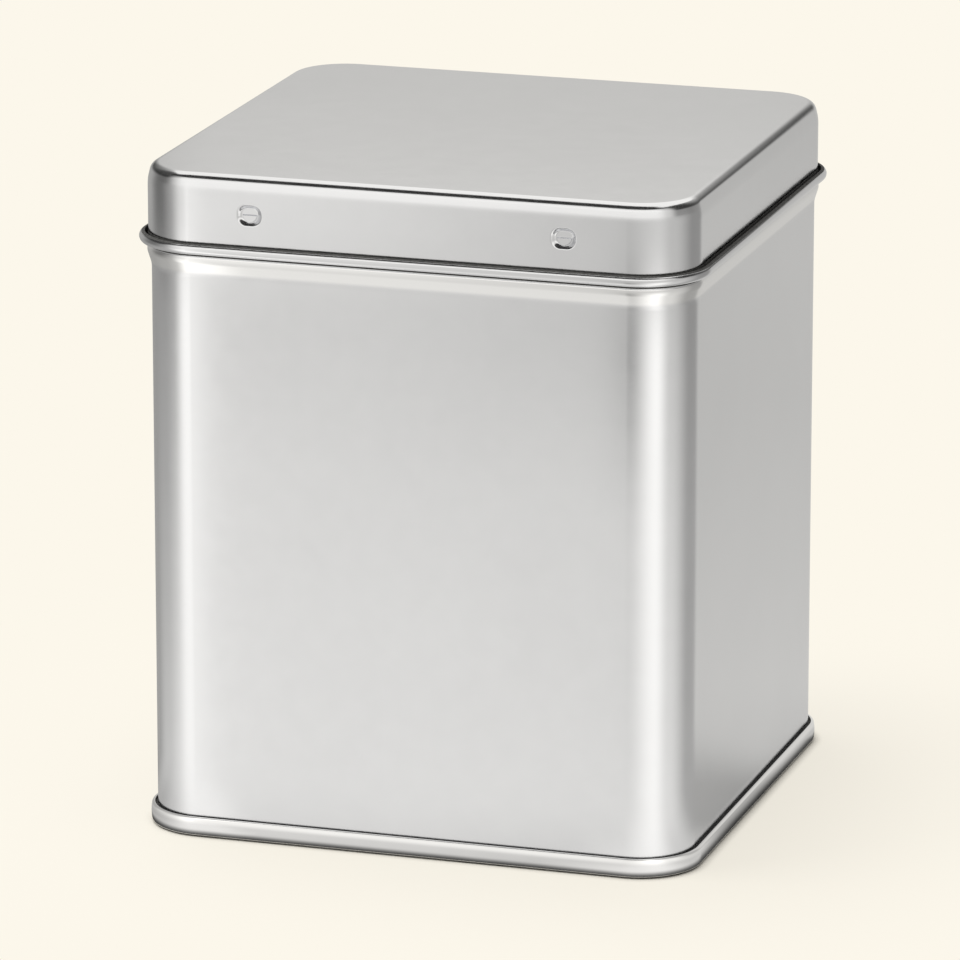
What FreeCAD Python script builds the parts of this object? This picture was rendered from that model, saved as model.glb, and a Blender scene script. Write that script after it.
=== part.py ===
import FreeCAD, Part

import math
import os
import Sketcher

# A square tea tin of bare tinplate, shut. Millimetres, +Z up.
# The origin is on the ground under the middle of the tin, and the front looks towards -Y.
#
# Three pieces:
#   body  the can body with its stop bead and, under the lid, the drawn-in neck; its inside stays solid
#   lid   the drawn slip lid, with its rolled edge and the pressed pips that grip the neck
#   base  the bottom end, with its double seam round the body and its sunk panel
#
# Levels are worked out from the ground (base, body wall) and from the top of the tin (lid, neck, bead).

SIZES = [
    # the tin as a whole
    ("body_width", 80.0, "body wall to body wall, along X"),
    ("body_depth", 77.0, "body wall to body wall, along Y"),
    ("corner_radius", 8.2, "upright corners of the body wall"),
    ("tin_height", 97.1, "ground to the top of the lid"),
    ("sheet", 0.25, "tinplate"),
    # lid
    ("lid_height", 11.4, "top of the lid to the lowest point of its rolled edge"),
    ("lid_clearance", 0.2, "body wall line to the inside of the lid's skirt"),
    ("lid_edge_radius", 1.4, "outside rounding between the lid's panel and its shoulder"),
    ("shoulder_height", 2.4, "top of the lid down to where the skirt starts to lean in"),
    ("shoulder_lean", 14.0, "degrees, lean of the skirt's top part"),
    ("shoulder_radius", 6.0, "outside rounding between the leaning part and the skirt"),
    ("curl_diameter", 1.55, "outside diameter of the rolled edge"),
    ("curl_opening", 0.3, "between the skirt and the end of the rolled edge"),
    # pips, pressed into the lid's skirt
    ("pip_spacing", 45.8, "centre to centre, on one side of the lid"),
    ("pip_level", 5.4, "top of the lid down to the middle of a pip"),
    ("pip_width", 3.9, "opening along X"),
    ("pip_height", 3.3, "opening along Z"),
    ("pip_corner", 1.5, "rounding of the opening's outline"),
    ("pip_slope", 45.0, "degrees, lean of the pip's walls"),
    ("tongue_radius", 0.95, "half-round tongue that stands in the pip"),
    ("tongue_rise", 0.3, "tongue above the floor of the pip"),
    # neck and stop bead of the body
    ("neck_inset", 0.4, "body wall line to the neck under the lid"),
    ("bead_rise", 0.6, "stop bead beyond the body wall"),
    ("bead_land", 0.3, "straight part of the bead's crown"),
    ("bead_height", 3.2, "top of the bead to its foot"),
    # side seam at the middle of the back
    ("side_seam_width", 3.2, "folded seam, along X"),
    ("side_seam_rise", 0.15, "folded seam beyond the body wall"),
    # base
    ("rim_height", 2.9, "double seam, ground to its top"),
    ("rim_rise", 0.87, "double seam beyond the body wall"),
    ("rim_thickness", 1.35, "double seam, inside to outside"),
    ("rim_bulge", 6.0, "radius of the seam's bowed outer face"),
    ("rim_top_round", 0.4, "outer top edge of the seam"),
    ("rim_foot_round", 0.45, "both lower edges of the seam"),
    ("crevice", 0.25, "body wall to the seam's inner top edge"),
    ("panel_sink", 2.15, "ground to the sunk panel's underside"),
    ("step_inset", 5.0, "body wall line to the edge of the panel's raised middle"),
    ("step_drop", 0.5, "raised middle, towards the ground"),
]

# offsets from the body wall line that several pieces share
SKIRT_OUT = "sizes.lid_clearance + sizes.sheet"
PIP_REACH = "sizes.lid_clearance + sizes.neck_inset"
# levels that several pieces share
STOP_LEVEL = "sizes.tin_height - sizes.lid_height"
LID_UNDERSIDE = "sizes.tin_height - sizes.sheet"
SEAT_LEVEL = "sizes.panel_sink + sizes.sheet"

# directions in which an arc may run from one corner of an outline to the next
LEFT_TURN = 1
RIGHT_TURN = -1


def make_sheet(doc):
    sheet = doc.addObject("Spreadsheet::Sheet", "sizes")
    for row, (name, value, note) in enumerate(SIZES, start=1):
        sheet.set(f"A{row}", name)
        sheet.set(f"B{row}", str(value))
        sheet.set(f"C{row}", note)
        sheet.setAlias(f"B{row}", name)
    doc.recompute()
    return sheet


def make_body(doc, name):
    body = doc.addObject("PartDesign::Body", name)
    body.Label = name
    return body


def make_sketch(body, name, plane, offset=("0", "0", "0")):
    """An empty sketch on one of the body's own planes, moved by offset in the sketch's own axes."""
    sketch = body.newObject("Sketcher::SketchObject", name)
    support = [item for item in body.Origin.OriginFeatures if item.Role == plane][0]
    sketch.AttachmentSupport = (support, [""])
    sketch.MapMode = "FlatFace"
    for axis, expression in zip("xyz", offset):
        if expression != "0":
            sketch.setExpression(f"AttachmentOffset.Base.{axis}", expression)
    return sketch


def arc_between(start, end, radius, turn):
    """The short circular arc from start to end, turning left or right, and whether it is stored reversed."""
    chord = end - start
    reach = math.sqrt(max(radius ** 2 - (chord.Length / 2) ** 2, 0.0))
    side = FreeCAD.Vector(-chord.y, chord.x, 0).normalize() * turn
    centre = (start + end) * 0.5 + side * reach
    first, last = (start, end) if turn == LEFT_TURN else (end, start)
    first_angle = math.atan2(first.y - centre.y, first.x - centre.x)
    last_angle = math.atan2(last.y - centre.y, last.x - centre.x)
    circle = Part.Circle(centre, FreeCAD.Vector(0, 0, 1), radius)
    return Part.ArcOfCircle(circle, first_angle, last_angle), turn == RIGHT_TURN


def draw_outline(sketch, corners):
    """Draw a closed outline. Each corner is (x, y) or (x, y, radius, turn), all as expressions but the
    turn. The edge from a corner to the next is an arc where a radius is given, and straight otherwise."""
    points = []
    for corner in corners:
        x_now = float(sketch.evalExpression(corner[0]))
        y_now = float(sketch.evalExpression(corner[1]))
        points.append(FreeCAD.Vector(x_now, y_now, 0))
    ends = []
    for index, corner in enumerate(corners):
        start = points[index]
        end = points[(index + 1) % len(points)]
        if len(corner) == 2:
            edge = sketch.addGeometry(Part.LineSegment(start, end))
            ends.append((edge, 1, 2))
        else:
            radius = float(sketch.evalExpression(corner[2]))
            arc, is_reversed = arc_between(start, end, radius, corner[3])
            edge = sketch.addGeometry(arc)
            ends.append((edge, 2, 1) if is_reversed else (edge, 1, 2))
    for index, corner in enumerate(corners):
        edge, start_end, far_end = ends[index]
        next_edge, next_start, _ = ends[(index + 1) % len(ends)]
        sketch.addConstraint(Sketcher.Constraint("Coincident", edge, far_end, next_edge, next_start))
        for kind, place, expression in (("DistanceX", points[index].x, corner[0]),
                                        ("DistanceY", points[index].y, corner[1])):
            if expression == "0":
                axis = -2 if kind == "DistanceX" else -1
                sketch.addConstraint(Sketcher.Constraint("PointOnObject", edge, start_end, axis))
                continue
            number = sketch.addConstraint(Sketcher.Constraint(kind, -1, 1, edge, start_end, place))
            sketch.setExpression(f"Constraints[{number}]", expression)
        if len(corner) == 4:
            radius = float(sketch.evalExpression(corner[2]))
            number = sketch.addConstraint(Sketcher.Constraint("Radius", edge, radius))
            sketch.setExpression(f"Constraints[{number}]", corner[2])


def rounded_outline(half_width, half_depth, radius):
    """Corners of a rounded rectangle about the sketch's origin, starting at the middle of its right side."""
    inner_width = f"{half_width} - ({radius})"
    inner_depth = f"{half_depth} - ({radius})"
    return [
        (half_width, "0"),
        (half_width, inner_depth, radius, LEFT_TURN),
        (inner_width, half_depth),
        (f"-({inner_width})", half_depth, radius, LEFT_TURN),
        (f"-({half_width})", inner_depth),
        (f"-({half_width})", f"-({inner_depth})", radius, LEFT_TURN),
        (f"-({inner_width})", f"-({half_depth})"),
        (inner_width, f"-({half_depth})", radius, LEFT_TURN),
        (half_width, f"-({inner_depth})"),
    ]


def wall_outline(offset):
    """The tin's plan outline, offset outwards from the body wall line."""
    return rounded_outline(
        f"(sizes.body_width / 2 + ({offset}))",
        f"(sizes.body_depth / 2 + ({offset}))",
        f"(sizes.corner_radius + ({offset}))",
    )


def plan_sketch(body, name, offset, level):
    sketch = make_sketch(body, name, "XY_Plane", ("0", "0", level))
    draw_outline(sketch, wall_outline(offset))
    return sketch


def add_pad(body, name, sketch, length, backwards=False, slope=None):
    pad = body.newObject("PartDesign::Pad", name)
    pad.Profile = sketch
    pad.Reversed = backwards
    pad.setExpression("Length", length)
    if slope is not None:
        pad.setExpression("TaperAngle", f"-{slope}")
    return pad


def add_pocket(body, name, sketch, depth, upward=False, slope=None):
    pocket = body.newObject("PartDesign::Pocket", name)
    pocket.Profile = sketch
    pocket.Reversed = upward
    pocket.setExpression("Length", depth)
    if slope is not None:
        pocket.setExpression("TaperAngle", f"-{slope}")
    return pocket


def add_ring(body, name, path, section):
    """Sweep a section once round the tin."""
    ring = body.newObject("PartDesign::AdditivePipe", name)
    ring.Profile = section
    ring.Spine = path
    return ring


def edges_at_level(feature, level):
    """Names of the feature's edges that lie wholly at one level."""
    names = []
    for number, edge in enumerate(feature.Shape.Edges, start=1):
        box = edge.BoundBox
        if abs(box.ZMin - level) < 1e-4 and abs(box.ZMax - level) < 1e-4:
            names.append(f"Edge{number}")
    return names


def add_fillet(body, name, feature, level, radius):
    """Rounds the feature's edges that lie at a level."""
    fillet = body.newObject("PartDesign::Fillet", name)
    fillet.Base = (feature, edges_at_level(feature, float(feature.evalExpression(level))))
    fillet.setExpression("Radius", radius)
    return fillet


def face_at_level(feature, level):
    """Name of the feature's flat face at one level."""
    for number, face in enumerate(feature.Shape.Faces, start=1):
        box = face.BoundBox
        if abs(box.ZMin - level) < 1e-4 and abs(box.ZMax - level) < 1e-4:
            return f"Face{number}"
    return ""


def section_sketch(body, name, out, level):
    """A sketch that stands across the tin's right side: x runs outwards from the body wall line offset by
    out, y runs up from level."""
    return make_sketch(body, name, "XZ_Plane", (f"sizes.body_width / 2 + ({out})", level, "0"))


def make_can_body(doc):
    """Walls, stop bead, neck with its rounded mouth, and the folded side seam at the back."""
    body = make_body(doc, "body")
    walls = plan_sketch(body, "wall_plan", "0", SEAT_LEVEL)
    add_pad(body, "walls", walls, f"{STOP_LEVEL} - sizes.bead_height - ({SEAT_LEVEL})")

    neck_plan = plan_sketch(body, "neck_plan", "-sizes.neck_inset", f"{STOP_LEVEL} - sizes.bead_height")
    neck = add_pad(body, "neck", neck_plan, f"{LID_UNDERSIDE} - ({STOP_LEVEL}) + sizes.bead_height")
    doc.recompute()

    # the mouth is rounded as the inside of the lid's edge is, and so stays clear of it
    add_fillet(body, "mouth", neck, LID_UNDERSIDE, "sizes.lid_edge_radius - sizes.sheet")

    # the bead's shoulder is a quarter round from the neck out to the crown
    shoulder = "(sizes.bead_rise + sizes.neck_inset)"
    root = "-(sizes.neck_inset + sizes.bead_rise)"
    bead_section = section_sketch(body, "bead_section", "0", STOP_LEVEL)
    draw_outline(bead_section, [
        (root, "-sizes.bead_height"),
        ("0", "-sizes.bead_height"),
        ("sizes.bead_rise", f"-({shoulder} + sizes.bead_land)"),
        ("sizes.bead_rise", f"-{shoulder}", shoulder, LEFT_TURN),
        ("-sizes.neck_inset", "0"),
        (root, "0"),
    ])
    bead_path = plan_sketch(body, "bead_path", "0", STOP_LEVEL)
    add_ring(body, "stop_bead", bead_path, bead_section)

    seam_sketch = make_sketch(body, "side_seam_plan", "XZ_Plane", ("0", "0", "-sizes.body_depth / 2"))
    half_seam = "sizes.side_seam_width / 2"
    seam_top = f"{STOP_LEVEL} - sizes.bead_height"
    draw_outline(seam_sketch, [
        (f"-({half_seam})", SEAT_LEVEL),
        (half_seam, SEAT_LEVEL),
        (half_seam, seam_top),
        (f"-({half_seam})", seam_top),
    ])
    add_pad(body, "side_seam", seam_sketch, "sizes.side_seam_rise", backwards=True)
    return body


def make_lid(doc):
    """A drawn cap of even sheet, its edge rolled outwards, with pressed pips on the front and the back."""
    lid = make_body(doc, "lid")
    curl_level = f"{STOP_LEVEL} + sizes.curl_diameter / 2"
    cap_plan = plan_sketch(lid, "cap_plan", SKIRT_OUT, curl_level)
    shoulder_level = "sizes.tin_height - sizes.shoulder_height"
    add_pad(lid, "cap", cap_plan, f"{shoulder_level} - ({curl_level})")
    shoulder_plan = plan_sketch(lid, "shoulder_plan", SKIRT_OUT, shoulder_level)
    shoulder = add_pad(lid, "shoulder", shoulder_plan, "sizes.shoulder_height", slope="sizes.shoulder_lean")
    doc.recompute()

    cap_edge = add_fillet(lid, "cap_edge", shoulder, "sizes.tin_height", "sizes.lid_edge_radius")
    doc.recompute()
    cap_foot = add_fillet(lid, "shoulder_foot", cap_edge, shoulder_level, "sizes.shoulder_radius")
    doc.recompute()

    shell = lid.newObject("PartDesign::Thickness", "shell")
    shell.Base = (cap_foot, [face_at_level(cap_foot, float(lid.evalExpression(curl_level)))])
    shell.Reversed = True
    shell.setExpression("Value", "sizes.sheet")

    # the sheet leaves the skirt downwards, rolls out and up, and ends a little short of the skirt
    curl_section = section_sketch(lid, "curl_section", SKIRT_OUT, curl_level)
    draw_curl(curl_section)
    curl_path = plan_sketch(lid, "curl_path", SKIRT_OUT, curl_level)
    add_ring(lid, "curl", curl_path, curl_section)

    add_pips(doc, lid)
    return lid


def draw_curl(sketch):
    """The rolled sheet: two arcs about one centre, joined at the skirt and at the free end."""
    outer_radius = float(sketch.evalExpression("sizes.curl_diameter / 2"))
    thickness = float(sketch.evalExpression("sizes.sheet"))
    opening = float(sketch.evalExpression("sizes.curl_opening"))
    centre = FreeCAD.Vector(outer_radius - thickness, 0, 0)
    up = FreeCAD.Vector(0, 0, 1)
    end_angle = math.acos((opening - centre.x) / outer_radius) + 2 * math.pi
    arcs = []
    for radius in (outer_radius, outer_radius - thickness):
        circle = Part.Circle(centre, up, radius)
        arcs.append(sketch.addGeometry(Part.ArcOfCircle(circle, math.pi, end_angle)))
    outer, inner = arcs
    ends = []
    for angle in (math.pi, end_angle):
        ray = FreeCAD.Vector(math.cos(angle), math.sin(angle), 0)
        line = Part.LineSegment(centre + ray * outer_radius, centre + ray * (outer_radius - thickness))
        ends.append(sketch.addGeometry(line))
    skirt_end, free_end = ends
    for line, arc_end in ((skirt_end, 1), (free_end, 2)):
        sketch.addConstraint(Sketcher.Constraint("Coincident", line, 1, outer, arc_end))
        sketch.addConstraint(Sketcher.Constraint("Coincident", line, 2, inner, arc_end))
    sketch.addConstraint(Sketcher.Constraint("Coincident", outer, 3, inner, 3))
    sketch.addConstraint(Sketcher.Constraint("PointOnObject", outer, 3, -1))
    sketch.addConstraint(Sketcher.Constraint("PointOnObject", outer, 3, free_end))
    sketch.addConstraint(Sketcher.Constraint("PointOnObject", outer, 1, -1))
    sketch.addConstraint(Sketcher.Constraint("Coincident", inner, 1, -1, 1))
    number = sketch.addConstraint(Sketcher.Constraint("Radius", outer, outer_radius))
    sketch.setExpression(f"Constraints[{number}]", "sizes.curl_diameter / 2")
    number = sketch.addConstraint(Sketcher.Constraint("Radius", inner, outer_radius - thickness))
    sketch.setExpression(f"Constraints[{number}]", "sizes.curl_diameter / 2 - sizes.sheet")
    number = sketch.addConstraint(Sketcher.Constraint("DistanceX", -1, 1, outer, 2, opening))
    sketch.setExpression(f"Constraints[{number}]", "sizes.curl_opening")


def add_pips(doc, lid):
    """Each pip is a dent in the skirt that bears on the neck, with a half-round tongue standing in it."""
    middle = ("sizes.pip_spacing / 2", "sizes.tin_height - sizes.pip_level")
    inside = "sizes.body_depth / 2 + sizes.lid_clearance"
    outside = f"{inside} + sizes.sheet"
    floor = f"{outside} - ({PIP_REACH})"
    outline = rounded_outline("sizes.pip_width / 2", "sizes.pip_height / 2", "sizes.pip_corner")

    back_sketch = make_sketch(lid, "pip_back_plan", "XZ_Plane", (*middle, inside))
    draw_outline(back_sketch, outline)
    back = add_pad(lid, "pip_back", back_sketch, PIP_REACH, backwards=True, slope="sizes.pip_slope")

    dent_sketch = make_sketch(lid, "pip_dent_plan", "XZ_Plane", (*middle, outside))
    draw_outline(dent_sketch, outline)
    dent = add_pocket(lid, "pip_dent", dent_sketch, PIP_REACH, slope="sizes.pip_slope")

    tongue_sketch = make_sketch(lid, "pip_tongue_plan", "XZ_Plane", (*middle, floor))
    draw_outline(tongue_sketch, [
        ("sizes.tongue_radius", "0"),
        ("-sizes.tongue_radius", "0", "sizes.tongue_radius", LEFT_TURN),
        ("0", "-sizes.tongue_radius", "sizes.tongue_radius", LEFT_TURN),
    ])
    tongue = add_pad(lid, "pip_tongue", tongue_sketch, "sizes.tongue_rise")
    doc.recompute()

    mirrors = []
    for plane in ("YZ_Plane", "XZ_Plane"):
        mirror = lid.newObject("PartDesign::Mirrored", f"pip_mirror_{plane[:2].lower()}")
        support = [item for item in lid.Origin.OriginFeatures if item.Role == plane][0]
        mirror.MirrorPlane = (support, [""])
        mirrors.append(mirror)
    pips = lid.newObject("PartDesign::MultiTransform", "pips")
    pips.Transformations = mirrors
    pips.Originals = [back, dent, tongue]
    lid.Tip = pips


def make_base(doc):
    """The bottom end: the double seam that grips the body wall, and the sunk panel inside it."""
    base = make_body(doc, "base")
    inner = "(sizes.rim_rise - sizes.rim_thickness)"
    panel_plan = plan_sketch(base, "panel_plan", inner, "sizes.panel_sink")
    add_pad(base, "panel", panel_plan, "sizes.sheet")

    rim_section = section_sketch(base, "rim_section", "0", "0")
    draw_outline(rim_section, [
        (inner, "sizes.rim_foot_round", "sizes.rim_foot_round", LEFT_TURN),
        (f"{inner} + sizes.rim_foot_round", "0"),
        ("sizes.rim_rise - sizes.rim_foot_round", "0", "sizes.rim_foot_round", LEFT_TURN),
        ("sizes.rim_rise", "sizes.rim_foot_round", "sizes.rim_bulge", LEFT_TURN),
        ("sizes.rim_rise", "sizes.rim_height - sizes.rim_top_round", "sizes.rim_top_round", LEFT_TURN),
        ("sizes.rim_rise - sizes.rim_top_round", "sizes.rim_height"),
        ("sizes.crevice", "sizes.rim_height"),
        ("sizes.crevice", SEAT_LEVEL),
        (inner, SEAT_LEVEL),
    ])
    rim_path = plan_sketch(base, "rim_path", "0", "0")
    add_ring(base, "rim", rim_path, rim_section)

    middle_plan = plan_sketch(base, "panel_middle_plan", "-sizes.step_inset", "sizes.panel_sink")
    add_pad(base, "panel_middle", middle_plan, "sizes.step_drop", backwards=True)
    return base


def check_document(doc, pieces):
    """Stop where a feature failed or a piece isn't one sound solid."""
    for item in doc.Objects:
        if "Invalid" in item.State or "Error" in item.State:
            raise RuntimeError(f"{item.Name} failed: {item.State}")
    for piece in pieces:
        shape = piece.Shape
        if shape.isNull() or not shape.isValid() or len(shape.Solids) != 1:
            raise RuntimeError(f"{piece.Label} isn't one valid solid")


def main():
    doc = FreeCAD.newDocument("tea_tin")
    make_sheet(doc)
    pieces = [make_can_body(doc), make_lid(doc), make_base(doc)]
    doc.recompute()
    check_document(doc, pieces)
    os.makedirs("parts", exist_ok=True)
    for piece in pieces:
        piece.Shape.exportStep(os.path.join("parts", f"{piece.Label}.step"))
        box = piece.Shape.BoundBox
        print(f"{piece.Label}: volume {piece.Shape.Volume:.1f}, "
              f"{box.XLength:.2f} x {box.YLength:.2f} x {box.ZLength:.2f}, z {box.ZMin:.2f} to {box.ZMax:.2f}")


main()
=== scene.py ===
"""A plain tea tin of bare tinplate, a square canister with a slip lid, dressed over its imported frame."""
import math

import bpy
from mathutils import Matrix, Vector


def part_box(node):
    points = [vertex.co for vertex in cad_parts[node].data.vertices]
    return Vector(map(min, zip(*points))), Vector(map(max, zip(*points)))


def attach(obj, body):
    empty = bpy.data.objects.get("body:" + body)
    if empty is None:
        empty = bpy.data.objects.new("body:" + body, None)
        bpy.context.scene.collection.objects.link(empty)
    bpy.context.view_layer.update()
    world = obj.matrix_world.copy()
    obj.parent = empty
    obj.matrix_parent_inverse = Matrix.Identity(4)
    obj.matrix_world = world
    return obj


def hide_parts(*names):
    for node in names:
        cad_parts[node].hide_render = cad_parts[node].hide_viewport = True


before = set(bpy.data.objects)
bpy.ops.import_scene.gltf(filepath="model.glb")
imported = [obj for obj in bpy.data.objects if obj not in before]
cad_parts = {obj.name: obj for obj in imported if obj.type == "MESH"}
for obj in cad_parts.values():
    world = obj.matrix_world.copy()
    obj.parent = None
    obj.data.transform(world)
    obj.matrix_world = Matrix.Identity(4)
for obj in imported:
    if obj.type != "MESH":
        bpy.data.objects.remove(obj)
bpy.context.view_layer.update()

MM = 0.001

# ---- sizes of the sheet metal, in metres; offsets are measured outwards from the body's wall line
# the *_SHADE values and CURL_LIT say where bare metal gives way to painted shade, a dark material laid deep in
# a joint where shade falls
SHEET = 0.25 * MM
CORNER_RADIUS = 8.2 * MM
LID_CLEARANCE = 0.2 * MM
LID_EDGE_RADIUS = 1.4 * MM
SHOULDER_HEIGHT = 2.4 * MM
SHOULDER_LEAN = math.radians(14)
SHOULDER_RADIUS = 6.0 * MM
CURL_RADIUS = 0.774 * MM
CURL_OPENING = 0.5 * MM
CURL_SHADE = 0.84 * MM
CURL_LIT = 360 + 54
PIP_SPACING = 45.8 * MM
PIP_LEVEL = 5.4 * MM
PIP_WIDTH = 3.9 * MM
PIP_HEIGHT = 3.3 * MM
PIP_CORNER = 1.5 * MM
PIP_DEPTH = 0.6 * MM
PIP_WALL_RUN = 0.85 * MM
BEVEL_END = 0.12
TONGUE_RADIUS = 1.05 * MM
TONGUE_RISE = 0.24 * MM
TONGUE_EDGE = 0.12 * MM
NECK_INSET = 0.4 * MM
MOUTH_RADIUS = 1.15 * MM
BEAD_RISE = 0.6 * MM
BEAD_LAND = 0.3 * MM
BEAD_HEIGHT = 3.2 * MM
BEAD_BLEND = 1.6 * MM
LID_SHADE = 38
SEAM_WIDTH = 3.2 * MM
SEAM_RISE = 0.15 * MM
SEAM_EDGE = 0.3 * MM
RIM_RISE = 0.87 * MM
RIM_THICKNESS = 1.35 * MM
RIM_BULGE = 6.0 * MM
RIM_TOP_ROUND = 0.32 * MM
RIM_FOOT_ROUND = 0.45 * MM
RIM_SHADE = -28
CREVICE = 0.42 * MM
CREVICE_EDGE = 0.06 * MM
PANEL_SINK = 2.15 * MM
STEP_INSET = 5.0 * MM
STEP_DROP = 0.5 * MM
STEP_BLEND = 0.4 * MM
PANEL_MARGIN = 6.0 * MM
EDGE_ROUND = 0.05 * MM

# how finely arcs, corners and reliefs are divided
ARC_STEP = math.radians(6)
CORNER_STEP = math.radians(2.5)
RELIEF_STEP = 0.085 * MM

# ---- places read from the frame
lid_low, lid_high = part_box("lid")
body_low, body_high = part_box("body")
base_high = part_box("base")[1]
HALF_WIDTH = body_high.x - BEAD_RISE
HALF_DEPTH = -body_low.y - BEAD_RISE
TIN_TOP = lid_high.z
STOP_LEVEL = lid_low.z
NECK_TOP = body_high.z
SEAT_LEVEL = body_low.z
RIM_TOP = base_high.z
SKIRT_OUT = LID_CLEARANCE + SHEET
PIP_MIDDLE = TIN_TOP - PIP_LEVEL


# ---- sections: runs of (offset, level, angle the surface faces), the outside on the left of the travel
def turn_steps(angle, step):
    return max(2, math.ceil(abs(angle) / step))


def arc(offset, level, radius, first, last):
    """A round run about a centre, between two angles in degrees."""
    first, last = math.radians(first), math.radians(last)
    faces_in = math.pi if last > first else 0.0
    steps = turn_steps(last - first, ARC_STEP)
    angles = [first + (last - first) * k / steps for k in range(steps + 1)]
    return [(offset + radius * math.cos(a), level + radius * math.sin(a), a + faces_in) for a in angles]


def outline(corners, stops=()):
    """Straight runs through (offset, level, rounding) corners, with a tangent arc at each rounding."""
    points = [Vector(corner[:2]) for corner in corners]
    runs, start = [], points[0]
    for k in range(1, len(points)):
        into = (points[k] - points[k - 1]).normalized()
        face = math.atan2(into.x, -into.y)
        radius = corners[k][2] if k + 1 < len(points) else 0.0
        end, bend = points[k], None
        if radius:
            out = (points[k + 1] - points[k]).normalized()
            turn = math.atan2(into.x * out.y - into.y * out.x, into.dot(out))
            reach = radius * math.tan(abs(turn) / 2)
            end = points[k] - into * reach
            side = Vector((-into.y, into.x)) * math.copysign(radius, turn)
            centre = end + side
            steps = turn_steps(turn, ARC_STEP)
            bend = []
            for step in range(steps + 1):
                a = turn * step / steps
                spoke = Vector((-side.x * math.cos(a) + side.y * math.sin(a),
                                -side.x * math.sin(a) - side.y * math.cos(a)))
                bend.append((centre.x + spoke.x, centre.y + spoke.y, face + a))
        run = [start, *[start.lerp(end, s) for s in stop_shares(start, end, stops)], end]
        runs.append([(p.x, p.y, face) for p in run])
        start = end
        if bend:
            runs.append(bend)
            start = Vector(bend[-1][:2])
    return runs


def stop_shares(start, end, stops):
    """Where along an upright run the given levels lie, from its start to its end."""
    rise = end.y - start.y
    if abs(rise) < 1e-9:
        return []
    shares = [(level - start.y) / rise for level in stops]
    return sorted(s for s in shares if 0.001 < s < 0.999)


# ---- stations round the wall line: (x, y, outward x, outward y), anticlockwise seen from above
def stations(spots, side_spots=()):
    """The rounded square of the wall line, with extra stations at the given places on its flat sides."""
    flat_x, flat_y = HALF_WIDTH - CORNER_RADIUS, HALF_DEPTH - CORNER_RADIUS
    steps = turn_steps(math.pi / 2, CORNER_STEP)
    loop = []
    for quarter, (sign_x, sign_y) in enumerate(((1, -1), (1, 1), (-1, 1), (-1, -1))):
        if quarter % 2 == 0:
            for x in sorted(spots, reverse=quarter == 2):
                loop.append((x, sign_y * HALF_DEPTH, 0.0, float(sign_y)))
        else:
            for y in sorted(side_spots, reverse=quarter == 3):
                loop.append((sign_x * HALF_WIDTH, y, float(sign_x), 0.0))
        for k in range(steps + 1):
            a = (quarter - 1 + k / steps) * math.pi / 2
            out = (math.cos(a), math.sin(a))
            loop.append((sign_x * flat_x + CORNER_RADIUS * out[0],
                         sign_y * flat_y + CORNER_RADIUS * out[1], *out))
    return loop


def flat(x, z, front):
    return 0.0


def sweep(name, section, loop, relief=flat, shade_painted_runs=()):
    """The section carried round the loop, its ends closed; the runs given as painted shade take the second
    material, a dark painted shade.
    """
    rings, spans = [], []
    for number, run in enumerate(section):
        for k, (offset, level, face) in enumerate(run):
            joined = k == 0 and rings and math.dist(rings[-1], (offset, level)) < 1e-7
            if not joined:
                rings.append((offset, level))
            if k:
                spans.append((len(rings) - 2, len(rings) - 1, run[k - 1][2], face, number in shade_painted_runs))
    count = len(loop)
    verts, faces, normals, slots = [], [], [], []
    for offset, level in rings:
        for x, y, nx, ny in loop:
            lift = relief(x, level, ny < 0) if nx == 0.0 else 0.0
            verts.append((x + nx * offset, y + ny * (offset + lift), level))

    def facing(j, ring, angle):
        x, y, nx, ny = loop[j]
        level = rings[ring][1]
        out, up = math.cos(angle), math.sin(angle)
        normal = Vector((nx * out, ny * out, up))
        if nx == 0.0 and abs(up) < 1e-6:
            front, d = ny < 0, RELIEF_STEP / 4
            slope_x = (relief(x + d, level, front) - relief(x - d, level, front)) / (2 * d)
            slope_z = (relief(x, level + d, front) - relief(x, level - d, front)) / (2 * d)
            normal = Vector((-slope_x, ny, -slope_z)) * math.copysign(1, out)
        return normal.normalized()

    for first, last, face_first, face_last, is_painted_shade in spans:
        slots += [int(is_painted_shade)] * count
        for j in range(count):
            n = (j + 1) % count
            faces.append((first * count + j, last * count + j, last * count + n, first * count + n))
            normals += [facing(j, first, face_first), facing(j, last, face_last),
                        facing(n, last, face_last), facing(n, first, face_first)]
    last_ring = (len(rings) - 1) * count
    faces.append(tuple(range(count)))
    normals += [Vector((0, 0, 1))] * count
    up_or_down = -1 if section[-1][-1][2] % (2 * math.pi) > math.pi else 1
    faces.append(tuple(range(last_ring + count - 1, last_ring - 1, -1)))
    normals += [Vector((0, 0, up_or_down))] * count

    mesh = bpy.data.meshes.new(name)
    mesh.from_pydata(verts, [], faces)
    mesh.polygons.foreach_set("material_index", slots + [0, 0])
    mesh.shade_smooth()
    mesh.normals_split_custom_set(normals)
    mesh.validate()
    piece = bpy.data.objects.new(name, mesh)
    bpy.context.scene.collection.objects.link(piece)
    return piece


# ---- reliefs pressed into the flat sides
def smooth(t):
    t = min(max(t, 0.0), 1.0)
    return t * t * (3 - 2 * t)


def bevel(t):
    """A straight slope from nought to one, with short rounded ends."""
    if t < BEVEL_END:
        return max(t + BEVEL_END, 0.0) ** 2 / (4 * BEVEL_END)
    if t > 1 - BEVEL_END:
        return 1 - max(1 - t + BEVEL_END, 0.0) ** 2 / (4 * BEVEL_END)
    return t


def inside_rounded_box(x, z, half_x, half_z, radius):
    """How far inside a rounded rectangle a point lies; negative outside it."""
    dx, dz = abs(x) - (half_x - radius), abs(z) - (half_z - radius)
    beyond = math.hypot(max(dx, 0.0), max(dz, 0.0)) + min(max(dx, dz), 0.0)
    return radius - beyond


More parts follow.
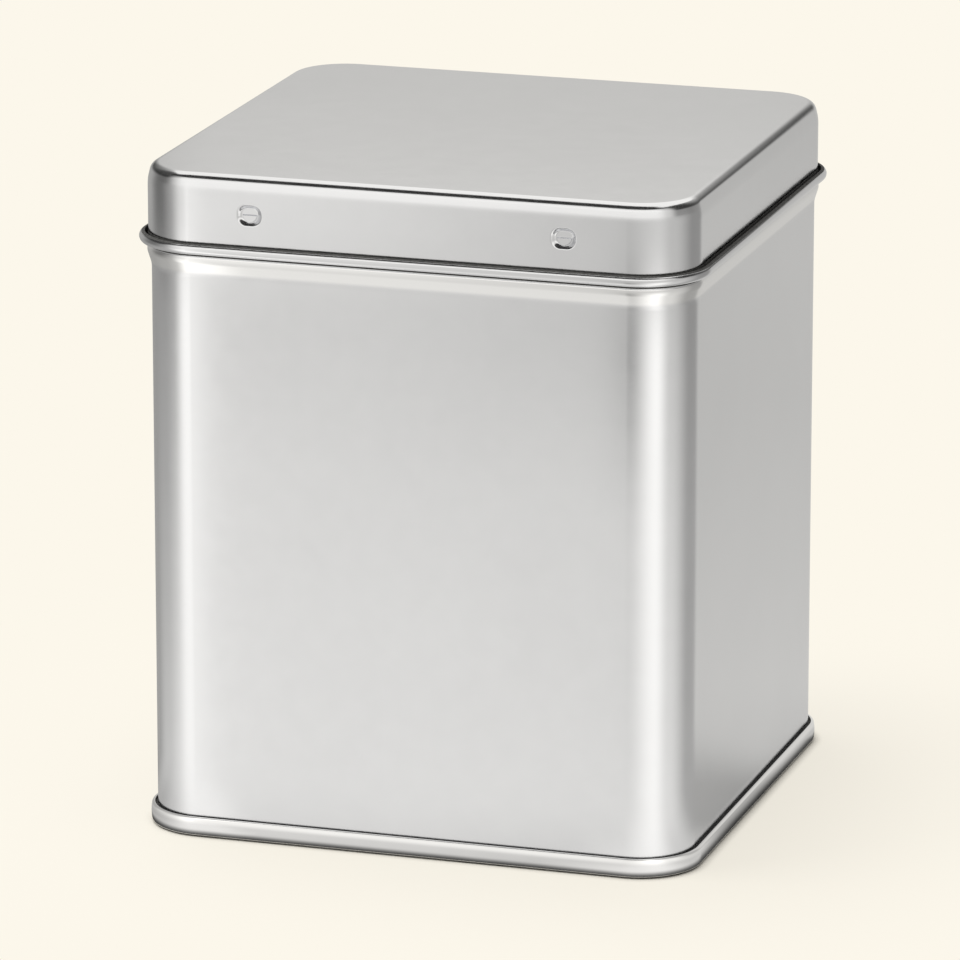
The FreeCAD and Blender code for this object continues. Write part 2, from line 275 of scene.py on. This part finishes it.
def pip_relief(x, z, front):
    """A dent with leaning walls, and a half-round tongue with a straight top standing in it."""
    px, pz = abs(x) - PIP_SPACING / 2, z - PIP_MIDDLE
    if abs(px) > PIP_WIDTH or abs(pz) > PIP_HEIGHT:
        return 0.0
    depth = smooth(inside_rounded_box(px, pz, PIP_WIDTH / 2, PIP_HEIGHT / 2, PIP_CORNER) / PIP_WALL_RUN)
    tongue = min(TONGUE_RADIUS - math.hypot(px, pz), -pz)
    return TONGUE_RISE * bevel(0.5 + tongue / TONGUE_EDGE) * depth - PIP_DEPTH * depth


def seam_relief(x, z, front):
    """The flattened fold of the side seam, down the middle of the back."""
    if front or z > STOP_LEVEL - BEAD_HEIGHT:
        return 0.0
    return SEAM_RISE * smooth((SEAM_WIDTH / 2 - abs(x)) / SEAM_EDGE)


# ---- the three pieces
def pip_steps(middle, half):
    return even_steps(middle - half, middle + half, RELIEF_STEP)


def even_steps(low, high, step):
    """Even steps from low to high, both ends included."""
    count = math.ceil((high - low) / step)
    return [low + (high - low) * k / count for k in range(count + 1)]


def make_lid():
    pip_reach = PIP_WIDTH / 2 + RELIEF_STEP
    spots = pip_steps(-PIP_SPACING / 2, pip_reach) + pip_steps(PIP_SPACING / 2, pip_reach)
    levels = pip_steps(PIP_MIDDLE, PIP_HEIGHT / 2 + RELIEF_STEP)
    curl_level = STOP_LEVEL + CURL_RADIUS
    curl_middle = SKIRT_OUT + CURL_RADIUS - SHEET
    end = 360 + math.degrees(math.acos((SKIRT_OUT + CURL_OPENING - curl_middle) / CURL_RADIUS))
    inner = CURL_RADIUS - SHEET
    shoulder_level = TIN_TOP - SHOULDER_HEIGHT
    panel_out = SKIRT_OUT - SHOULDER_HEIGHT * math.tan(SHOULDER_LEAN)
    panel_in = panel_out - SHEET * (1 - math.sin(SHOULDER_LEAN)) / math.cos(SHOULDER_LEAN)
    section = outline([
        (-PANEL_MARGIN, TIN_TOP, 0),
        (panel_out, TIN_TOP, LID_EDGE_RADIUS),
        (SKIRT_OUT, shoulder_level, SHOULDER_RADIUS),
        (SKIRT_OUT, curl_level + CURL_SHADE, 0),
    ], levels)
    roll_in = arc(curl_middle, curl_level, inner, 180, end)
    roll_top = arc(curl_middle, curl_level, CURL_RADIUS, end, CURL_LIT)
    roll_out = arc(curl_middle, curl_level, CURL_RADIUS, CURL_LIT, 180)
    # painted shade: the skirt's foot above the curl, the curl's inside, its cut edge and its top take the dark
    # second material
    painted_shade_runs = range(len(section), len(section) + 4)
    section += outline([(SKIRT_OUT, curl_level + CURL_SHADE, 0), (SKIRT_OUT, curl_level, 0)])
    section.append(roll_in)
    section += outline([(*roll_in[-1][:2], 0), (*roll_top[0][:2], 0)])
    section += [roll_top, roll_out]
    section += outline([
        (LID_CLEARANCE, curl_level, 0),
        (LID_CLEARANCE, shoulder_level, SHOULDER_RADIUS - SHEET),
        (panel_in, TIN_TOP - SHEET, LID_EDGE_RADIUS - SHEET),
        (-PANEL_MARGIN, TIN_TOP - SHEET, 0),
    ], levels)
    return sweep("lid_sheet", section, stations(spots), pip_relief, painted_shade_runs)


def make_body():
    seam_edge = SEAM_WIDTH / 2 - SEAM_EDGE
    spots = [side * (seam_edge + SEAM_EDGE * k / 6) for side in (-1, 1) for k in range(7)]
    bead_foot = STOP_LEVEL - BEAD_HEIGHT
    shoulder = NECK_INSET + BEAD_RISE
    section = outline([
        (-PANEL_MARGIN, NECK_TOP, 0),
        (-NECK_INSET, NECK_TOP, MOUTH_RADIUS),
        (-NECK_INSET, STOP_LEVEL, 0),
    ])
    # painted shade: the neck inside the lid and the top of the bead's shoulder take the dark second material
    painted_shade_under_lid = range(len(section) + 1)
    for first, last in ((90, LID_SHADE), (LID_SHADE, 0)):
        section.append(arc(-NECK_INSET, STOP_LEVEL - shoulder, shoulder, first, last))
    section += outline([
        (BEAD_RISE, STOP_LEVEL - shoulder, 0),
        (BEAD_RISE, STOP_LEVEL - shoulder - BEAD_LAND, BEAD_BLEND),
        (0, bead_foot, BEAD_BLEND * 2),
        (0, SEAT_LEVEL, 0),
        (-PANEL_MARGIN, SEAT_LEVEL, 0),
    ])
    return sweep("body_sheet", section, stations(spots), seam_relief, painted_shade_under_lid)


def make_base():
    inner = RIM_RISE - RIM_THICKNESS
    low, high = RIM_FOOT_ROUND, RIM_TOP - RIM_TOP_ROUND
    lean = math.asin((high - low) / 2 / RIM_BULGE)
    top_round = RIM_TOP_ROUND / (1 - math.sin(lean))
    foot_round = RIM_FOOT_ROUND / (1 - math.sin(lean))
    tilt = math.degrees(lean)
    top_middle = RIM_RISE - top_round * math.cos(lean)
    foot_middle = RIM_RISE - foot_round * math.cos(lean)
    section = outline([
        (-PANEL_MARGIN, SEAT_LEVEL, 0),
        (CREVICE, SEAT_LEVEL, EDGE_ROUND),
        (CREVICE, RIM_TOP, CREVICE_EDGE),
        (top_middle, RIM_TOP, 0),
    ])
    section.append(arc(top_middle, RIM_TOP - top_round, top_round, 90, tilt))
    section.append(arc(RIM_RISE - RIM_BULGE * math.cos(lean), (low + high) / 2, RIM_BULGE, tilt, -tilt))
    section.append(arc(foot_middle, foot_round, foot_round, -tilt, RIM_SHADE))
    section.append(arc(foot_middle, foot_round, foot_round, RIM_SHADE, -90))
    # painted shade: the crevice's floor, its lower rounding and its wall, and the foot's rounding on the floor
    # take the dark second material
    painted_shade_runs = (0, 1, 2, len(section) - 1)
    section += outline([
        (foot_middle, 0, 0),
        (inner, 0, RIM_FOOT_ROUND),
        (inner, PANEL_SINK, RIM_FOOT_ROUND),
        (-STEP_INSET, PANEL_SINK, STEP_BLEND / 2),
        (-STEP_INSET - STEP_BLEND, PANEL_SINK - STEP_DROP, STEP_BLEND / 2),
        (-STEP_INSET - 3 * STEP_BLEND, PANEL_SINK - STEP_DROP, 0),
    ])
    return sweep("base_sheet", section, stations([]), shade_painted_runs=painted_shade_runs)


# ---- materials
ROUGH_GRAIN, ROUGH_MOTTLE = 0.025, 0.015
HIGHLIGHT_AND_BURNISH_EDGE = 0.7 * MM
GRAIN_DEPTH, WAVE_DEPTH = 0.02 * MM, 0.25 * MM


def add_node(tree, kind, **settings):
    node = tree.nodes.new(kind)
    for key, value in settings.items():
        setattr(node, key, value)
    return node


def srgb(red, green, blue):
    """A colour written as 0-255 screen values, in the linear form that sockets take."""
    return tuple(((c / 255 + 0.055) / 1.055) ** 2.4 for c in (red, green, blue)) + (1.0,)


def noise(tree, place, scale, detail, stretch=(1, 1, 1)):
    mapping = add_node(tree, "ShaderNodeMapping")
    mapping.inputs["Scale"].default_value = stretch
    texture = add_node(tree, "ShaderNodeTexNoise")
    texture.inputs["Scale"].default_value = scale
    texture.inputs["Detail"].default_value = detail
    tree.links.new(place, mapping.inputs["Vector"])
    tree.links.new(mapping.outputs["Vector"], texture.inputs["Vector"])
    return texture.outputs["Fac"]


def spread(tree, value, low, high):
    """Noise, which stays near a half, spread to run from low to high."""
    ramp = add_node(tree, "ShaderNodeMapRange")
    ramp.inputs["From Min"].default_value = 0.3
    ramp.inputs["From Max"].default_value = 0.7
    ramp.inputs["To Min"].default_value = low
    ramp.inputs["To Max"].default_value = high
    tree.links.new(value, ramp.inputs["Value"])
    return ramp.outputs["Result"]


def tinplate(name, dull, bright, roughness, grain_bump, highlight_and_burnish=None):
    """Bare satin tinplate: rolling grain, soft mottling of the tin coat, and a faint waviness of the sheet.

    The optional last argument is a level, a brighter colour painted above it as a highlight, and how much
    smoother the coat is made there."""
    material = bpy.data.materials.new(name)
    material.use_nodes = True
    tree = material.node_tree
    shader = tree.nodes["Principled BSDF"]
    shader.inputs["Metallic"].default_value = 1.0
    place = add_node(tree, "ShaderNodeTexCoord").outputs["Object"]
    grain = noise(tree, place, 5200, 3, (0.06, 1, 1))
    speckle = noise(tree, place, 3800, 2)
    mottle = noise(tree, place, 260, 3)
    cloud = noise(tree, place, 45, 2)

    tone = add_node(tree, "ShaderNodeMix", data_type="RGBA")
    tone.inputs["A"].default_value = dull
    tone.inputs["B"].default_value = bright
    blend = add_node(tree, "ShaderNodeMath", operation="MULTIPLY_ADD")
    blend.inputs[1].default_value = 0.5
    tree.links.new(spread(tree, mottle, 0, 1), blend.inputs[0])
    tree.links.new(spread(tree, cloud, 0, 0.5), blend.inputs[2])
    tree.links.new(blend.outputs["Value"], tone.inputs["Factor"])
    colour = tone.outputs["Result"]
    smoother = None
    # painted highlight: above the level the colour turns brighter; the roughness is lowered there too
    if highlight_and_burnish:
        level, painted_highlight_colour, smoothing = highlight_and_burnish
        height = add_node(tree, "ShaderNodeSeparateXYZ")
        tree.links.new(place, height.inputs["Vector"])
        highlight_and_burnish_mask = add_node(tree, "ShaderNodeMapRange", interpolation_type="SMOOTHSTEP")
        highlight_and_burnish_mask.inputs["From Min"].default_value = level
        highlight_and_burnish_mask.inputs["From Max"].default_value = level + HIGHLIGHT_AND_BURNISH_EDGE
        tree.links.new(height.outputs["Z"], highlight_and_burnish_mask.inputs["Value"])
        painted_highlight = add_node(tree, "ShaderNodeMix", data_type="RGBA")
        painted_highlight.inputs["B"].default_value = painted_highlight_colour
        tree.links.new(highlight_and_burnish_mask.outputs["Result"], painted_highlight.inputs["Factor"])
        tree.links.new(colour, painted_highlight.inputs["A"])
        colour = painted_highlight.outputs["Result"]
        smoother = add_node(tree, "ShaderNodeMath", operation="MULTIPLY")
        smoother.inputs[1].default_value = smoothing
        tree.links.new(highlight_and_burnish_mask.outputs["Result"], smoother.inputs[0])
    tree.links.new(colour, shader.inputs["Base Color"])

    rough = add_node(tree, "ShaderNodeMath", operation="ADD")
    tree.links.new(spread(tree, grain, roughness - ROUGH_GRAIN, roughness + ROUGH_GRAIN), rough.inputs[0])
    tree.links.new(spread(tree, mottle, -ROUGH_MOTTLE, ROUGH_MOTTLE), rough.inputs[1])
    if smoother:
        smoothed = add_node(tree, "ShaderNodeMath", operation="SUBTRACT")
        tree.links.new(rough.outputs["Value"], smoothed.inputs[0])
        tree.links.new(smoother.outputs["Value"], smoothed.inputs[1])
        rough = smoothed
    tree.links.new(rough.outputs["Value"], shader.inputs["Roughness"])

    relief = add_node(tree, "ShaderNodeMath", operation="MULTIPLY_ADD")
    relief.inputs[1].default_value = 0.6
    tree.links.new(grain, relief.inputs[0])
    tree.links.new(speckle, relief.inputs[2])
    bump = add_node(tree, "ShaderNodeBump")
    bump.inputs["Strength"].default_value = grain_bump
    bump.inputs["Distance"].default_value = GRAIN_DEPTH
    wave = add_node(tree, "ShaderNodeBump")
    wave.inputs["Strength"].default_value = 0.08
    wave.inputs["Distance"].default_value = WAVE_DEPTH
    tree.links.new(cloud, wave.inputs["Height"])
    tree.links.new(relief.outputs["Value"], bump.inputs["Height"])
    tree.links.new(wave.outputs["Normal"], bump.inputs["Normal"])
    tree.links.new(bump.outputs["Normal"], shader.inputs["Normal"])
    return material


def painted_shade_sheet():
    """Painted shade: dark, dull steel laid deep in the joints, in the open curl and on the bands beside them
    where shade falls, with mottled noise in its tone and roughness.
    """
    material = bpy.data.materials.new("painted_shade_sheet")
    material.use_nodes = True
    tree = material.node_tree
    shader = tree.nodes["Principled BSDF"]
    shader.inputs["Metallic"].default_value = 0.2
    shader.inputs["Specular IOR Level"].default_value = 0.1
    place = add_node(tree, "ShaderNodeTexCoord").outputs["Object"]
    film = noise(tree, place, 2600, 2)
    tone = add_node(tree, "ShaderNodeMix", data_type="RGBA")
    tone.inputs["A"].default_value = (0.075, 0.075, 0.072, 1)
    tone.inputs["B"].default_value = (0.155, 0.152, 0.146, 1)
    tree.links.new(spread(tree, film, 0, 1), tone.inputs["Factor"])
    tree.links.new(tone.outputs["Result"], shader.inputs["Base Color"])
    tree.links.new(spread(tree, film, 0.7, 0.85), shader.inputs["Roughness"])
    bump = add_node(tree, "ShaderNodeBump")
    bump.inputs["Strength"].default_value = 0.05
    bump.inputs["Distance"].default_value = GRAIN_DEPTH
    tree.links.new(film, bump.inputs["Height"])
    tree.links.new(bump.outputs["Normal"], shader.inputs["Normal"])
    return material


TIN_DULL, TIN_BRIGHT = (0.725, 0.73, 0.75, 1), (0.755, 0.76, 0.78, 1)
BASE_DULL, BASE_BRIGHT = (0.69, 0.69, 0.70, 1), (0.73, 0.73, 0.74, 1)
# painted highlights on the bead and the rim's top, which are also made smoother
BEAD_HIGHLIGHT_AND_BURNISH = (STOP_LEVEL - BEAD_HEIGHT, (0.86, 0.86, 0.865, 1), 0.07)
RIM_TOP_HIGHLIGHT_AND_BURNISH = (1.9 * MM, (0.93, 0.93, 0.935, 1), 0.05)
# the dark material of painted shade, for the joints and the curl
painted_shade_metal = painted_shade_sheet()

for piece, node, metal in (
    (make_lid(), "lid", tinplate("satin_tinplate_lid", TIN_DULL, TIN_BRIGHT, 0.16, 0.06)),
    (make_body(), "body", tinplate("satin_tinplate_body", TIN_DULL, TIN_BRIGHT, 0.22, 0.03, BEAD_HIGHLIGHT_AND_BURNISH)),
    (make_base(), "base", tinplate("satin_tinplate_base", BASE_DULL, BASE_BRIGHT, 0.17, 0.05, RIM_TOP_HIGHLIGHT_AND_BURNISH)),
):
    piece.data.materials.append(metal)
    piece.data.materials.append(painted_shade_metal)
    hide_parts(node)
    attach(piece, "root")

# ---- camera, from the photograph's viewing angle
VIEW_TURN = math.radians(17.396)
VIEW_DROP = math.radians(15.304)
VIEW_DISTANCE = 1086.7 * MM
VIEW_RIGHT = 1.268 * MM
VIEW_UP = -3.268 * MM
VIEW_LEVEL = 48.6 * MM
SENSOR = 36.0
FOCAL_PIXELS = 7500
PHOTO_PIXELS = 960

right = Vector((math.cos(VIEW_TURN), math.sin(VIEW_TURN), 0))
forward = Vector((-math.sin(VIEW_TURN) * math.cos(VIEW_DROP),
                  math.cos(VIEW_TURN) * math.cos(VIEW_DROP), -math.sin(VIEW_DROP)))
above = right.cross(forward)
target = Vector((0, 0, VIEW_LEVEL))
camera = bpy.data.objects.new("camera", bpy.data.cameras.new("camera"))
camera.data.sensor_width = SENSOR
camera.data.lens = SENSOR * FOCAL_PIXELS / PHOTO_PIXELS
camera.data.clip_start, camera.data.clip_end = 0.05, 20
camera.location = target - right * VIEW_RIGHT + above * VIEW_UP - forward * VIEW_DISTANCE
camera.rotation_mode = "QUATERNION"
camera.rotation_quaternion = forward.to_track_quat("-Z", "Y")
bpy.context.scene.collection.objects.link(camera)
bpy.context.scene.camera = camera

# ---- floor and background
CREAM = srgb(252, 247, 235)
FLOOR_RADIUS = 6.0
SHADOW_REACH = 60 * MM
FLOOR_GLOW = 0.72
CONTACT_INNER, CONTACT_OUTER = 0.5 * MM, 2.4 * MM
WORLD_LIGHT, BACKDROP_LIGHT = 0.45, 1.0


def seen_rays(tree):
    """One where the ray comes from the camera or through metal or glass, and nought elsewhere."""
    path = add_node(tree, "ShaderNodeLightPath")
    total = path.outputs["Is Camera Ray"]
    for name in ("Is Glossy Ray", "Is Transmission Ray"):
        either = add_node(tree, "ShaderNodeMath", operation="MAXIMUM")
        tree.links.new(total, either.inputs[0])
        tree.links.new(path.outputs[name], either.inputs[1])
        total = either.outputs["Value"]
    return total


def make_floor():
    bpy.ops.mesh.primitive_circle_add(vertices=96, radius=FLOOR_RADIUS, fill_type="NGON")
    floor = bpy.context.object
    floor.name = "studio_floor"
    material = bpy.data.materials.new("pale_floor")
    material.use_nodes = True
    tree = material.node_tree
    tree.nodes.remove(tree.nodes["Principled BSDF"])
    diffuse = add_node(tree, "ShaderNodeBsdfDiffuse")
    glow = add_node(tree, "ShaderNodeEmission")
    diffuse.inputs["Color"].default_value = CREAM
    glow.inputs["Color"].default_value = CREAM
    spot = add_node(tree, "ShaderNodeTexCoord").outputs["Object"]
    corner = (HALF_WIDTH - CORNER_RADIUS, HALF_DEPTH - CORNER_RADIUS, 0)
    for operation, amount in (("ABSOLUTE", None), ("SUBTRACT", corner), ("MAXIMUM", (0, 0, 0))):
        step = add_node(tree, "ShaderNodeVectorMath", operation=operation)
        tree.links.new(spot, step.inputs[0])
        if amount:
            step.inputs[1].default_value = amount
        spot = step.outputs["Vector"]
    distance = add_node(tree, "ShaderNodeVectorMath", operation="LENGTH")
    tree.links.new(spot, distance.inputs[0])
    fade = add_node(tree, "ShaderNodeMapRange", interpolation_type="SMOOTHSTEP")
    fade.inputs["From Min"].default_value = CORNER_RADIUS
    fade.inputs["From Max"].default_value = CORNER_RADIUS + SHADOW_REACH
    fade.inputs["To Min"].default_value = FLOOR_GLOW
    fade.inputs["To Max"].default_value = 1.0
    tree.links.new(distance.outputs["Value"], fade.inputs["Value"])
    contact = add_node(tree, "ShaderNodeMapRange", interpolation_type="SMOOTHSTEP")
    contact.inputs["From Min"].default_value = CORNER_RADIUS + CONTACT_INNER
    contact.inputs["From Max"].default_value = CORNER_RADIUS + CONTACT_OUTER
    tree.links.new(distance.outputs["Value"], contact.inputs["Value"])
    open_floor = add_node(tree, "ShaderNodeMath", operation="MULTIPLY")
    tree.links.new(fade.outputs["Result"], open_floor.inputs[0])
    tree.links.new(contact.outputs["Result"], open_floor.inputs[1])
    share = add_node(tree, "ShaderNodeMath", operation="MULTIPLY")
    tree.links.new(open_floor.outputs["Value"], share.inputs[0])
    tree.links.new(seen_rays(tree), share.inputs[1])
    mix = add_node(tree, "ShaderNodeMixShader")
    tree.links.new(share.outputs["Value"], mix.inputs["Fac"])
    tree.links.new(diffuse.outputs["BSDF"], mix.inputs[1])
    tree.links.new(glow.outputs["Emission"], mix.inputs[2])
    tree.links.new(mix.outputs["Shader"], tree.nodes["Material Output"].inputs["Surface"])
    material.cycles.emission_sampling = "NONE"
    floor.data.materials.append(material)


def make_world():
    world = bpy.data.worlds.new("studio")
    bpy.context.scene.world = world
    world.use_nodes = True
    tree = world.node_tree
    plain = tree.nodes["Background"]
    plain.inputs["Color"].default_value = (1, 1, 1, 1)
    plain.inputs["Strength"].default_value = WORLD_LIGHT
    pale = add_node(tree, "ShaderNodeBackground")
    pale.inputs["Color"].default_value = CREAM
    pale.inputs["Strength"].default_value = BACKDROP_LIGHT
    mix = add_node(tree, "ShaderNodeMixShader")
    tree.links.new(seen_rays(tree), mix.inputs["Fac"])
    tree.links.new(plain.outputs["Background"], mix.inputs[1])
    tree.links.new(pale.outputs["Background"], mix.inputs[2])
    tree.links.new(mix.outputs["Shader"], tree.nodes["World Output"].inputs["Surface"])


def soft_light(name, place, size, power):
    """A square soft box that faces the tin."""
    light = bpy.data.lights.new(name, "AREA")
    light.size = size
    light.energy = power
    lamp = bpy.data.objects.new(name, light)
    lamp.location = place
    lamp.rotation_mode = "QUATERNION"
    lamp.rotation_quaternion = (target - Vector(place)).to_track_quat("-Z", "Y")
    lamp.visible_camera = False
    lamp.visible_glossy = False
    bpy.context.scene.collection.objects.link(lamp)


make_floor()
make_world()
soft_light("soft_top", (-0.25, 0.1, 1.1), 0.9, 7.0)
soft_light("soft_left", (-0.9, -0.5, 0.8), 0.7, 4.0)

# ---- light tent that stands round the tin and that only the metal sees: walls from the apron on the floor up,
# a canopy above them, a ceiling, and a dark gap between canopy and ceiling along the front
TENT_GAP = 30 * MM
TENT_HEIGHT = 190 * MM
TENT_ROUND = 24 * MM
TENT_CELL = 3 * MM
APRON_GAP = 0.95 * MM
APRON_DARK = 0.08
APRON_CLEAR = 3.2 * MM
APRON_LEVEL = 0.2 * MM
TENT_WARMTH = (1.0, 0.985, 0.945, 1)

# the tent's cloths, each taking over from the last: the direction round the tin where it does so, in degrees
# from the front towards the right, over how many degrees it fades in, and its radiance from the bottom up
WALL_LEVELS = (0, 44 * MM, 70 * MM, 84 * MM, 97 * MM)
WALL_BACK = (0.58, 0.72, 0.65, 0.63, 0.65)
WALLS = (
    # beside the tin's foot, at the wall's foot, at the two levels above it, and opposite the lid
    (-180, 2, WALL_BACK),
    (-124, 66, (0.31, 0.43, 0.40, 0.38, 0.45)),    # dim left side
    (-70, 16, (0.46, 0.72, 0.50, 0.41, 0.20)),     # darker left corner with a lit foot
    (-52, 14, (0.72, 0.95, 0.72, 0.52, 0.46)),
    (-43, 11, (1.15, 1.25, 1.29, 1.32, 0.96)),     # left strip
    (-35, 6, (1.10, 1.24, 1.30, 1.36, 1.21)),
    (-31.5, 3, (0.90, 0.99, 0.92, 0.83, 0.97)),    # front
    (-2, 60, (0.84, 0.94, 0.87, 0.73, 0.69)),
    (18.5, 5, (0.81, 0.92, 0.81, 0.40, 0.64)),     # narrow flag at the front's right
    (33.5, 24, (1.20, 1.28, 1.30, 1.36, 0.80)),    # right strip
    (50, 12, (0.76, 0.95, 0.85, 0.73, 0.65)),      # right corner
    (67.5, 21, (0.43, 0.50, 0.43, 0.36, 0.34)),    # dim right side
    (109, 26, (0.66, 0.70, 0.62, 0.63, 0.58)),
    (152, 12, WALL_BACK),
)
CANOPY_LEVELS = (105 * MM, 128 * MM, 148 * MM)
CANOPY_BACK = (0.66, 0.73, 1.12)
CANOPY = (
    (-180, 2, CANOPY_BACK),
    (-115, 36, (0.08, 0.30, 0.58)),                # left side
    (-77, 20, (0.05, 0.09, 0.12)),                 # left corner
    (-49, 10, (0.90, 0.33, 0.06)),
    (-42, 8, (1.24, 1.05, 0.05)),                  # front
    (49, 10, (0.85, 0.55, 0.10)),                  # right corner
    (58, 8, (0.05, 0.05, 0.06)),
    (88, 32, (0.07, 0.35, 0.42)),                  # right side
    (126, 30, (0.08, 0.36, 0.85)),
    (151, 14, CANOPY_BACK),
)
ROOF_LEVEL, ROOF_LIGHT = 152 * MM, 1.15
GAP_LEVEL = 127 * MM
GAP_BACK, GAP_RIGHT, GAP_LIGHT = -37 * MM, 62 * MM, 0.04
GAP_EDGE = 8 * MM
CEILING_RINGS = 23


def smooth_step(value, low, high):
    return smooth((value - low) / (high - low))


def blend(a, b, share):
    return a + (b - a) * share


def cloths(turn, chain):
    """Radiances of a chain of cloths in one direction, from the bottom up."""
    lights = chain[0][2]
    for start, fade, radiances in chain:
        share = smooth_step(turn, start - fade / 2, start + fade / 2)
        lights = [blend(before, here, share) for before, here in zip(lights, radiances)]
    return lights


def at_level(level, levels, lights):
    """The light at a level, from those at the levels around it."""
    k = max(j for j in range(len(levels) - 1) if j == 0 or level >= levels[j])
    share = min(max((level - levels[k]) / (levels[k + 1] - levels[k]), 0), 1)
    return blend(lights[k], lights[k + 1], share)


def tent_light(point):
    """Radiance of the tent at a point of it."""
    turn = math.degrees(math.atan2(point.x, -point.y))
    beside, *wall = cloths(turn, WALLS)
    light = at_level(point.z, WALL_LEVELS + CANOPY_LEVELS, [*wall, wall[-1], *cloths(turn, CANOPY)])
    if point.z < 2 * APRON_LEVEL:
        corner = (HALF_WIDTH - CORNER_RADIUS, HALF_DEPTH - CORNER_RADIUS)
        away = math.hypot(max(abs(point.x) - corner[0], 0), max(abs(point.y) - corner[1], 0)) - CORNER_RADIUS
        light = blend(beside, wall[0], smooth(away / TENT_GAP))
        light *= blend(APRON_DARK, 1, smooth_step(away, APRON_GAP, APRON_CLEAR))
    light = blend(light, ROOF_LIGHT, smooth_step(point.z, CANOPY_LEVELS[-1], ROOF_LEVEL))
    gap = smooth_step(point.z, GAP_LEVEL - GAP_EDGE / 2, GAP_LEVEL + GAP_EDGE / 2)
    gap *= smooth_step(-point.y, -GAP_BACK, GAP_EDGE - GAP_BACK)
    gap *= smooth_step(-point.x, -GAP_RIGHT - GAP_EDGE, -GAP_RIGHT)
    return blend(light, GAP_LIGHT, gap)


def make_tent():
    """An apron on the floor, walls along the wall line carried outwards, and a ceiling, as a fine grid."""
    section = [(offset, APRON_LEVEL) for offset in even_steps(APRON_GAP, APRON_CLEAR, TENT_CELL / 8)]
    section += [(offset, APRON_LEVEL) for offset in even_steps(APRON_CLEAR, TENT_GAP, TENT_CELL)][1:-1]
    section += [(TENT_GAP, level) for level in even_steps(APRON_LEVEL, TENT_HEIGHT - TENT_ROUND, TENT_CELL)]
    section += [p[:2] for p in arc(TENT_GAP - TENT_ROUND, TENT_HEIGHT - TENT_ROUND, TENT_ROUND, 0, 90)][1:]
    reach_x, reach_y = HALF_WIDTH - CORNER_RADIUS - TENT_CELL, HALF_DEPTH - CORNER_RADIUS - TENT_CELL
    loop = stations(even_steps(-reach_x, reach_x, TENT_CELL), even_steps(-reach_y, reach_y, TENT_CELL))
    verts, faces = [], []
    for offset, level in section:
        verts += [Vector((x + nx * offset, y + ny * offset, level)) for x, y, nx, ny in loop]
    count = len(loop)
    rim = verts[-count:]
    for k in range(1, CEILING_RINGS + 1):
        inwards = 1 - k / (CEILING_RINGS + 1)
        verts += [Vector((p.x * inwards, p.y * inwards, p.z)) for p in rim]
    for k in range(len(section) + CEILING_RINGS - 1):
        for j in range(count):
            n = (j + 1) % count
            faces.append((k * count + j, k * count + n, (k + 1) * count + n, (k + 1) * count + j))
    mesh = bpy.data.meshes.new("light_tent")
    mesh.from_pydata(verts, [], faces)
    layer = mesh.attributes.new("glow", "FLOAT", "POINT")
    layer.data.foreach_set("value", [tent_light(point) for point in verts])
    tent = bpy.data.objects.new("light_tent", mesh)
    bpy.context.scene.collection.objects.link(tent)
    material = bpy.data.materials.new("tent_cloth")
    material.use_nodes = True
    tree = material.node_tree
    tree.nodes.remove(tree.nodes["Principled BSDF"])
    lit = add_node(tree, "ShaderNodeEmission")
    lit.inputs["Color"].default_value = TENT_WARMTH
    value = add_node(tree, "ShaderNodeAttribute", attribute_name="glow")
    tree.links.new(value.outputs["Fac"], lit.inputs["Strength"])
    tree.links.new(lit.outputs["Emission"], tree.nodes["Material Output"].inputs["Surface"])
    material.cycles.emission_sampling = "NONE"
    mesh.materials.append(material)
    tent.visible_camera = False
    tent.visible_diffuse = False
    tent.visible_shadow = False


make_tent()

bpy.context.scene.view_settings.view_transform = "Standard"
